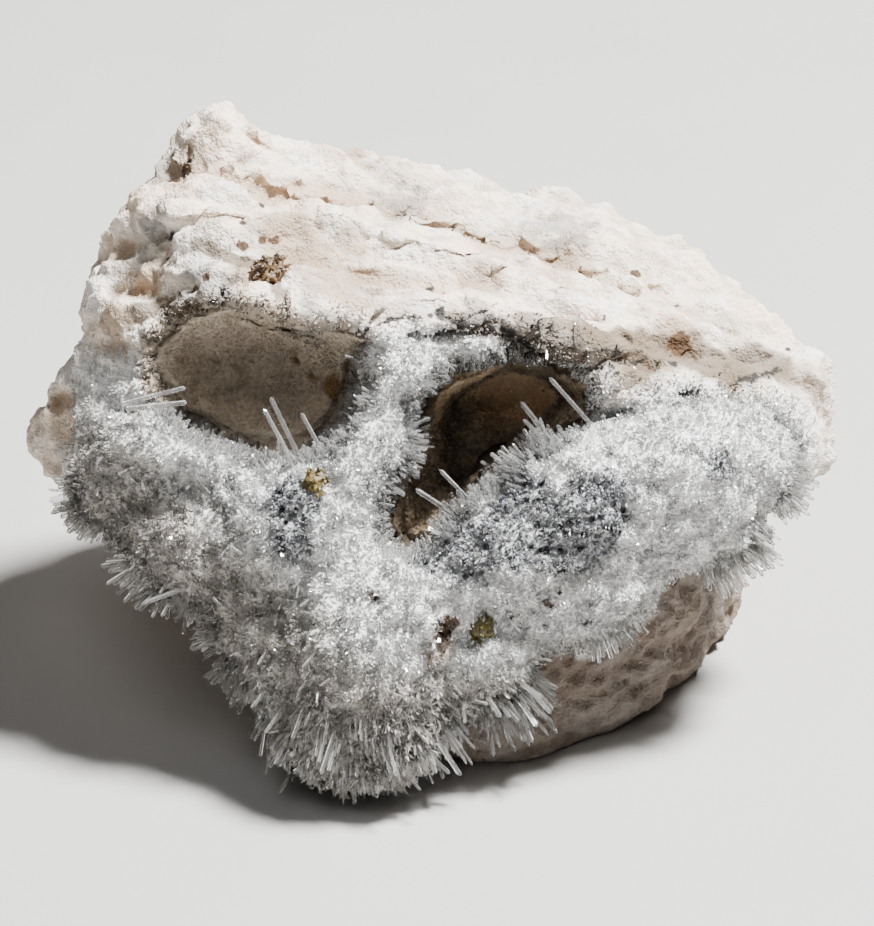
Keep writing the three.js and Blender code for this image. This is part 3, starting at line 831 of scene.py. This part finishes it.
def cored(nodes, place, color, dark, shade_share):
    """The grey blue cores over a colour, with darker spots in them, and painted shade on the crust's back,
    foot and left side.
    """
    cloud = nodes.noise(place, 1.6 * MM, 3.0)
    fine = nodes.noise(place, 0.55 * MM, 2.0)
    dim = nodes.patch("dim", (cloud - 0.5) * 0.8, 0.1, 0.9)
    # Painted shade: a darker grey on the crust's back, foot, fan and left side
    color = nodes.mixed(dim * shade_share, color, (0.40, 0.365, 0.315))
    core = nodes.patch("core", (cloud - 0.5) * 1.2, 0.1, 0.65)
    color = nodes.mixed(core * fine.ranged(0.25, 0.6) * dark, color, (0.20, 0.21, 0.225))
    cells = nodes.add("ShaderNodeTexVoronoi", {}, {"Vector": place, "Scale": 1 / (1.3 * MM)})
    spots = core * cells.ranged(0.2, 0.4, 1.0, 0.0)
    return nodes.mixed(spots * dark, color, (0.015, 0.016, 0.02))


def crust_material(sizes, pieces):
    material, nodes, place = new_material("white_crystal_ground")
    fine = nodes.noise(place, 0.5 * MM, 3.0)
    base = nodes.mixed(fine.ranged(0.35, 0.7), sizes.crust_color, sizes.crust_shade)
    base = stained(nodes, place, cored(nodes, place, base, 1.0, 0.85), sharp_marks(pieces))
    finish_with(nodes, base, 0.6, nodes.bumps(0.7, 0.3 * MM, fine))
    return material


def crystal_material(name, sizes, clear, core, shade_share):
    material, nodes, place = new_material(name)
    each = nodes.noise(place, 0.7 * MM, 1.0)
    base = nodes.mixed(each.ranged(0.35, 0.65), sizes.needle_color, (0.86, 0.86, 0.85))
    base = stained(nodes, place, cored(nodes, place, base, core, shade_share))
    rough = each.ranged(0.3, 0.7, 0.04, 0.2)
    finish_with(nodes, base, rough, None, **{"IOR": 1.48, "Transmission Weight": clear})
    return material


def druse_material(name, dark, light, pieces=(), marks=(), color=(0, 0, 0)):
    material, nodes, place = new_material(name)
    broad = nodes.noise(place, 2.5 * MM, 3.0)
    fine = nodes.noise(place, 0.4 * MM, 2.0)
    speck = nodes.noise(place, 0.8 * MM, 3.0)
    base = nodes.mixed((broad * 0.6 + fine * 0.8).ranged(0.5, 0.9), dark, light)
    # Marks over the tone: brown spots in the left hollow, and painted light on the right hollow's upper
    # lining
    if marks:
        shaken = place + (nodes.noise(place, 2 * MM, 3.0, 1) - 0.5) * (3 * MM)
        base = nodes.mixed(marked(shaken, found(pieces, marks)), base, color)
    base = nodes.mixed(speck.ranged(0.72, 0.8), base, (0.04, 0.03, 0.02))
    finish_with(nodes, base, 0.5, nodes.bumps(0.6, 0.25 * MM, fine))
    return material


def floor_material(sizes):
    material, nodes, place = new_material("pale_floor")
    mottle = nodes.noise(place, 0.03, 4.0)
    darker = [0.97 * part for part in sizes.floor_color]
    tone = nodes.mixed(mottle.ranged(0.3, 0.7), sizes.floor_color, darker)
    finish_with(nodes, tone, 0.7)
    return material


# What a user may change


def color_of(label, value, description):
    return bpy.props.FloatVectorProperty(
        name=label, description=description, default=value, size=3, min=0, max=1, subtype="COLOR"
    )


def length_of(label, value, description):
    return bpy.props.FloatProperty(
        name=label, description=description, default=value * MM, min=0.1 * MM, max=2 * MM, precision=4,
        unit="LENGTH",
    )


class ClusterSizes(bpy.types.PropertyGroup):
    """The sizes and colours of the crystal cluster."""

    needle_width: length_of("Needle width", 0.36, "How wide the widest needles are")
    grain_width: length_of("Grain width", 0.28, "How wide the widest small crystals of the crust are")
    rock_cell: length_of("Rock cell", 0.45, "The size of the cells that the rock is remade in")
    rock_color: color_of("Rock", (0.88, 0.71, 0.55), "The cream of the weathered rock")
    rock_white: color_of("Rock, palest", (0.97, 0.91, 0.83), "The palest parts of the rock")
    # The dips' tan is partly painted shade
    rock_tan: color_of("Rock, hollows", (0.42, 0.30, 0.20), "The tan in the rock's dips")
    rock_mottle: color_of("Rock, mottled", (0.50, 0.41, 0.33), "The greyer clouds in the rock")
    rock_grey: color_of("Rock, greyest", (0.50, 0.45, 0.40), "The grey in the rock's pits")
    # Partly the foot's own brown, partly painted shade
    rock_foot: color_of("Rock, foot", (0.11, 0.08, 0.06), "The brown of the rock's foot")
    crust_color: color_of("Crust", (0.91, 0.905, 0.89), "The white under the crystals")
    crust_shade: color_of("Crust, shaded", (0.70, 0.695, 0.68), "The grey between the crystals")
    needle_color: color_of("Needles", (0.975, 0.97, 0.955), "The clear white of the crystals")
    floor_color: color_of("Floor", (0.47, 0.46, 0.445), "The pale floor")


# Operators


class CLUSTER_OT_stage(bpy.types.Operator):
    """Lay the pale floor, light it softly and set the camera"""

    bl_idname = "cluster.stage"
    bl_label = "Stage"

    def execute(self, context):
        sizes = context.scene.cluster_sizes
        scene = context.scene
        bpy.ops.mesh.primitive_plane_add(size=6)
        floor = context.object
        floor.name = "floor"
        floor.data.materials.append(floor_material(sizes))
        world = bpy.data.worlds.new("studio")
        world.use_nodes = True
        world.node_tree.nodes["Background"].inputs["Color"].default_value = (1.0, 0.99, 0.97, 1.0)
        world.node_tree.nodes["Background"].inputs["Strength"].default_value = 0.03
        scene.world = world
        for name, place, size, power in (
            ("key", (0.34, 0.02, 0.80), 0.16, 42),
            ("sky", (-0.25, -0.30, 0.90), 0.5, 1.6),
            ("fill", (-0.5, -0.9, 0.7), 0.9, 0.3),
        ):
            lamp = bpy.data.lights.new(name, "AREA")
            lamp.shape = "DISK"
            lamp.size = size
            lamp.energy = power
            light = bpy.data.objects.new(name, lamp)
            scene.collection.objects.link(light)
            light.location = place
            light.rotation_euler = (Vector((0, 0, 0.03)) - Vector(place)).to_track_quat("-Z", "Y").to_euler()
        camera = bpy.data.objects.new("camera", bpy.data.cameras.new("camera"))
        scene.collection.objects.link(camera)
        camera.data.lens = 135
        camera.data.sensor_width = 36
        camera.data.clip_start = 0.01
        camera.matrix_world = FACE_TO_PART @ Matrix.Translation((0, 0, EYE_DISTANCE))
        scene.camera = camera
        return {"FINISHED"}


class CLUSTER_OT_rock(bpy.types.Operator):
    """Make the weathered rock"""

    bl_idname = "cluster.rock"
    bl_label = "Rock"

    def execute(self, context):
        sizes = context.scene.cluster_sizes
        relief = relief_shape()
        rock = copied(
            "matrix_rock", "weathered_rock", "matrix_rock", sizes.rock_cell, 14, relief,
            lump_size=5.0 * MM, lump_height=1.9 * MM, pit_size=2.1 * MM, pit_height=1.5 * MM,
            grain_size=0.9 * MM, grain_height=0.5 * MM, flat_below=0.3 * MM,
        )
        places, facing = corners_of(rock.data)
        rise = np.zeros(len(places))
        for line, height, width in RIDGES:
            near = line_distance(places, along([rock], line)) / (width * MM)
            rise += height * MM * np.exp(-near * near)
        # The walls of the hollows close up to their linings, and the rock round the crust closes up to it
        hollow, slope = hollow_depths(places, facing)
        wall = np.clip(-slope * 2, 0, 1) * np.clip((3.2 - hollow) / 0.8, 0, 1)
        rise += wall * np.clip(hollow - 0.25, 0, 1.9) * MM
        crust = outside(on_face(places), BALLS)
        lift = np.where(on_face(places)[:, 0] > 14, 2.2, 0.6)
        rise += lift * MM * np.clip((3.2 - crust) / 2.2, 0, 1) * (1 - wall)
        rise *= np.clip((places[:, 2] - 0.3 * MM) / (2 * MM), 0, 1)
        noted = np.empty(len(places), np.float32)
        rock.data.attributes["rise"].data.foreach_get("value", noted)
        store(rock.data, "rise", noted + rise / MM)
        rock.data.vertices.foreach_set("co", (places + facing * rise[:, None]).ravel())
        rock.data.update()
        rock.data.materials.clear()
        context.view_layer.update()
        mark_mesh(rock.data, [rock], True)
        rock.data.materials.append(rock_material(sizes, [rock]))
        return {"FINISHED"}


class CLUSTER_OT_crust(bpy.types.Operator):
    """Make the crust's body and the crystals that stand on it"""

    bl_idname = "cluster.crust"
    bl_label = "Crust"

    def execute(self, context):
        sizes = context.scene.cluster_sizes
        body = new_piece("crust_body", bpy.data.meshes.new("crust_body"), "natrolite", "natrolite_crust")
        with_shape(body, crust_shape(), inset=0.35, lump_height=1.5, knob_size=2.3, knob_height=1.1)
        settled(body)
        body.data.materials.clear()
        context.view_layer.update()
        solid = [bpy.data.objects["weathered_rock"], body]
        mark_mesh(body.data, solid, False)
        body.data.materials.append(crust_material(sizes, solid))

        places, facing = corners_of(body.data)
        face = on_face(places)
        away, spray, longs = sprays(face)
        hollow = outside(face, LEFT_OPENING + RIGHT_HOLLOW)
        way = unit(0.75 * away @ FACE_TURN.T + 0.25 * facing)
        thatch = (egg_depths(face, **FAN) < 1.6) & (face[:, 1] < -20)
        needle_way = np.where(thatch[:, None], fan_way(face, facing), way)
        # Nothing reaches the ground
        fall = np.maximum(0.2 - needle_way[:, 2], 0.05)
        room = np.where(needle_way[:, 2] < 0.2, (places[:, 2] / MM - 0.4) / fall, 99)

        tree = crystals_shape(True)
        milky = crystal_material("milky_natrolite", sizes, 0.3, 0.95, 0.7)
        clear = crystal_material("clear_natrolite", sizes, 0.92, 0.3, 0.25)

        def crystals(name, finish, coat, reach, way, seed, ground=body, **form):
            grow(name, ground.data, tree, finish, "natrolite", coat, reach, way, seed=seed, **form)

        # The small crystals all over
        grain = {"sides": 3, "thinnest": 0.5, "tilt": 0.9, "shoulder": 0.62, "foot": 0.0, "sunk": 0.22 * MM}
        front = np.clip((face[:, 2] + 13) / 3, 0, 1) * (0.55 + 0.45 * np.clip((face[:, 2] + 8) / 3, 0, 1))
        grain_reach = np.minimum(0.5 + 0.12 * longs * spray, 0.5 * room)
        front = front * (grain_reach > 0.3)
        for name, low, high, seed in (
            ("left_grains", -60, -19, 11), ("left_middle_grains", -19, -8, 12), ("middle_grains", -8, 3, 13),
            ("right_middle_grains", 3, 16, 14), ("right_grains", 16, 60, 15),
        ):
            here = (face[:, 0] >= low) & (face[:, 0] < high)
            crystals(name, milky, here * front, grain_reach, way, seed, density=19e6, clump=3.0,
                     width=1.05 * sizes.grain_width, shortest=0.4, **grain)

        # The sprays of needles
        left = face[:, 0] < -8
        needle_reach = np.maximum(np.minimum(longs * spray, room), 0.1)
        long_enough = np.clip(needle_reach - 0.6, 0, 1)
        for name, side, seed in (("left_needles", left, 22), ("right_needles", ~left, 23)):
            crystals(name, clear, (side & ~thatch) * long_enough, needle_reach, way, seed, sides=4,
                     density=8e6, clump=1.5, patchy=0.85, width=sizes.needle_width, thinnest=0.45,
                     shortest=0.2, tilt=0.3, shoulder=0.95, foot=0.7, sunk=0.5 * MM)

        # The fan, whose needles are short where they would stand out to the side
        down = ramp(face[:, 1], -21, -26) * ramp(face[:, 2], -10, -7)
        aside = np.abs(face[:, 0] - FAN_ROOT[0]) / np.maximum(FAN_ROOT[1] - face[:, 1], 1)
        fan_reach = 6.6 - 3.4 * np.clip(aside, 0, 1) - 2.6 * ramp(face[:, 1], -27, -32)
        fan_reach = np.maximum(np.minimum(fan_reach, room), 0.1)
        for name, share, density, wide, tilt, seed in (
            ("fan_needles", 0.6, 19e6, 0.5, 0.09, 21), ("long_fan_needles", 1.2, 2.2e6, 0.8, 0.12, 26),
        ):
            crystals(name, clear, thatch * down * (fan_reach > 1), np.minimum(share * fan_reach, 0.6 * room),
                     needle_way, seed, sides=4, density=density, patchy=0.1, clump=1.2, thinnest=0.5,
                     width=wide * sizes.needle_width, shortest=0.3, tilt=tilt, shoulder=0.96, foot=0.7,
                     sunk=0.4 * MM)

        # Needles here and there, blunt points, and the rims of the hollows
        ahead = ramp(face[:, 2], -9, -6)
        low_left = ramp(face[:, 0] + face[:, 1], 8, -20)
        crystals("scattered_needles", clear, ahead * low_left, np.minimum(2.4, room), way, 24, sides=4,
                 density=0.9e6, clump=1.5, patchy=0.5, width=0.7 * sizes.needle_width, thinnest=0.6,
                 shortest=0.35, tilt=1.0, shoulder=0.94, foot=0.8, sunk=0.3 * MM)
        crystals("crust_points", clear, ahead, np.minimum(1.0, room), way, 25, sides=4, density=1.8e6,
                 clump=2.0, patchy=0.4, width=1.1 * sizes.needle_width, thinnest=0.5, shortest=0.4, tilt=0.8,
                 shoulder=0.85, foot=0.5, sunk=0.3 * MM)
        rim = ramp(hollow, 2.0, 1.6) * ramp(face[:, 2], -7, -4)
        lean_in = inward(face, facing, LEFT_OPENING + RIGHT_HOLLOW)
        crystals("rim_needles", clear, rim, np.full(len(rim), 1.9), lean_in, 31, sides=4, density=6e6,
                 patchy=0.6, width=0.9 * sizes.needle_width, thinnest=0.4, shortest=0.25, tilt=0.5,
                 shoulder=0.9, foot=0.7, sunk=0.4 * MM)

        # The small crystals on the rock beside the crust, fewer on its brown band, which is partly painted
        # shadow
        rock, rock_facing = corners_of(solid[0].data)
        rock_face = on_face(rock)
        hollow = outside(rock_face, LEFT_HOLLOW + RIGHT_HOLLOW)
        band = np.empty(len(rock), np.float32)
        solid[0].data.attributes["band"].data.foreach_get("value", band)
        seam = frosted(rock_face) * (outside(rock_face, BALLS) > 0.2)
        seam = seam * np.clip((hollow - 0.4) / 1.0, 0, 1) * (1 - 0.75 * band)
        edge = (hollow < 1.2) * (hollow > 0.1) * (rock_face[:, 2] > -6) * (rock_face[:, 1] > 5)
        crystals("seam_grains", milky, np.maximum(seam, edge), np.full(len(seam), 0.45), rock_facing, 32,
                 ground=solid[0], density=16e6, clump=2.5, width=sizes.grain_width, shortest=0.35, **grain)

        # The long needles that stand alone
        lone = bpy.data.meshes.new("lone")
        ends = [[FACE_TO_PART @ (Vector(end) * MM) for end in ends] for ends in LONE_NEEDLES]
        lone.from_pydata([start for start, tip in ends], [], [])
        steps = np.array([tip - start for start, tip in ends])
        lengths = np.linalg.norm(steps, axis=1)
        grow("lone_needles", lone, crystals_shape(False), clear, "natrolite", np.ones(len(ends)),
             lengths / MM, steps / lengths[:, None], sides=4, density=1.0, width=1.15 * sizes.needle_width,
             thinnest=0.7, shortest=1.0, tilt=0.0, shoulder=0.97, foot=1.0, sunk=0.0, seed=33)
        return {"FINISHED"}


class CLUSTER_OT_hollows(bpy.types.Operator):
    """Line the two hollows with fine crystals"""

    bl_idname = "cluster.hollows"
    bl_label = "Hollows"

    def execute(self, context):
        sizes = context.scene.cluster_sizes
        relief = relief_shape()
        tree = crystals_shape(True)
        for node, name, slot, dark, light, marks, mark in (
            ("left_hollow_lining", "left_druse", "taupe_druse", (0.40, 0.325, 0.245), (0.62, 0.53, 0.42),
             [(-10.6, 7.5, 0.6, 1.8), (-9.6, 6.6, 0.4, 1.4), (-12.3, 8.8, 0.3, 1.0),
              (-14.0, 10.4, 0.2, 0.9)], (0.22, 0.13, 0.05)),
            # The right hollow's pale patches are painted light on the upper part of its lining
            ("right_hollow_lining", "right_druse", "brown_druse", (0.16, 0.118, 0.075), (0.40, 0.305, 0.20),
             [(2.0, 8.2, 3.0, 5.5), (7.5, 7.6, 3.0, 6.0), (11.0, 7.0, 1.0, 3.0)], (0.85, 0.64, 0.42)),
        ):
            lining = copied(
                node, name, slot, 0.35 * MM, 10, relief, lump_size=3 * MM, lump_height=0.7 * MM,
                pit_size=1.3 * MM, pit_height=0.5 * MM, grain_size=0.7 * MM, grain_height=0.3 * MM,
                flat_below=-1.0,
            )
            # Its rim is sunk, so that the rock's edge stands over it
            places, facing = corners_of(lining.data)
            slope = hollow_depths(places, facing)[1]
            out = FACE_TURN[:, 2]
            rim = np.clip(1.3 - 1.6 * np.abs(slope), 0, 1) * np.clip(facing @ out * 3, 0, 1)
            lining.data.vertices.foreach_set("co", (places - out * (rim * 0.8 * MM)[:, None]).ravel())
            lining.data.update()
            lining.data.materials.clear()
            context.view_layer.update()
            druse = druse_material(slot, dark, light, [lining], marks, mark)
            lining.data.materials.append(druse)
            places, facing = corners_of(lining.data)
            open_side = np.clip(-4 * hollow_depths(places, facing)[1] - 1, 0, 1)
            grow(
                name + "_grains", lining.data, tree, druse, slot, open_side, np.full(len(places), 0.28),
                facing, sides=3, density=11e6, clump=2.0, width=1.25 * sizes.grain_width, thinnest=0.5,
                shortest=0.3, tilt=0.8, shoulder=0.6, foot=0.0, sunk=0.15 * MM, seed=41,
            )
        return {"FINISHED"}


class CLUSTER_OT_minerals(bpy.types.Operator):
    """Make the olive and brown mineral grains"""

    bl_idname = "cluster.minerals"
    bl_label = "Mineral grains"

    def execute(self, context):
        relief = relief_shape()
        tree = crystals_shape(True)
        for node, slot, dark, light in (
            ("olive_mineral_left", "olive_mineral", (0.05, 0.035, 0.008), (0.19, 0.135, 0.03)),
            ("olive_mineral_centre", "olive_mineral", (0.035, 0.03, 0.006), (0.15, 0.12, 0.025)),
            ("brown_mineral_top", "brown_mineral", (0.035, 0.02, 0.01), (0.19, 0.11, 0.045)),
        ):
            grain = copied(
                node, node + "_cluster", slot, 0.14 * MM, 3, relief,
                lump_size=1.1 * MM, lump_height=0.35 * MM, pit_size=0.5 * MM, pit_height=0.18 * MM,
                grain_size=0.3 * MM, grain_height=0.08 * MM,
                flat_below=-1.0, material=druse_material(node, dark, light),
            )
            places, facing = corners_of(grain.data)
            grow(
                node + "_spikes", grain.data, tree, grain.data.materials[0], slot, np.ones(len(places)),
                np.full(len(places), 0.8), facing, sides=4, density=4e6, clump=3.0, width=0.4 * MM,
                thinnest=0.4, shortest=0.2, tilt=0.8, shoulder=0.6, foot=0.2, sunk=0.2 * MM, seed=51,
            )
        return {"FINISHED"}


class CLUSTER_PT_panel(bpy.types.Panel):
    """The cluster's sizes, colours and pieces"""

    bl_label = "Natrolite crystal cluster"
    bl_space_type = "VIEW_3D"
    bl_region_type = "UI"
    bl_category = "Cluster"

    def draw(self, context):
        for name in ClusterSizes.__annotations__:
            self.layout.prop(context.scene.cluster_sizes, name)
        for operator in OPERATORS:
            self.layout.operator(operator.bl_idname)


OPERATORS = (CLUSTER_OT_stage, CLUSTER_OT_rock, CLUSTER_OT_crust, CLUSTER_OT_hollows, CLUSTER_OT_minerals)
CLASSES = (ClusterSizes, *OPERATORS, CLUSTER_PT_panel)


def register():
    for made in CLASSES:
        bpy.utils.register_class(made)
    bpy.types.Scene.cluster_sizes = bpy.props.PointerProperty(type=ClusterSizes)


def unregister():
    del bpy.types.Scene.cluster_sizes
    for made in reversed(CLASSES):
        bpy.utils.unregister_class(made)


def main():
    register()
    bpy.ops.cluster.stage()
    bpy.ops.cluster.rock()
    bpy.ops.cluster.crust()
    bpy.ops.cluster.hollows()
    bpy.ops.cluster.minerals()


if __name__ == "__main__":
    main()
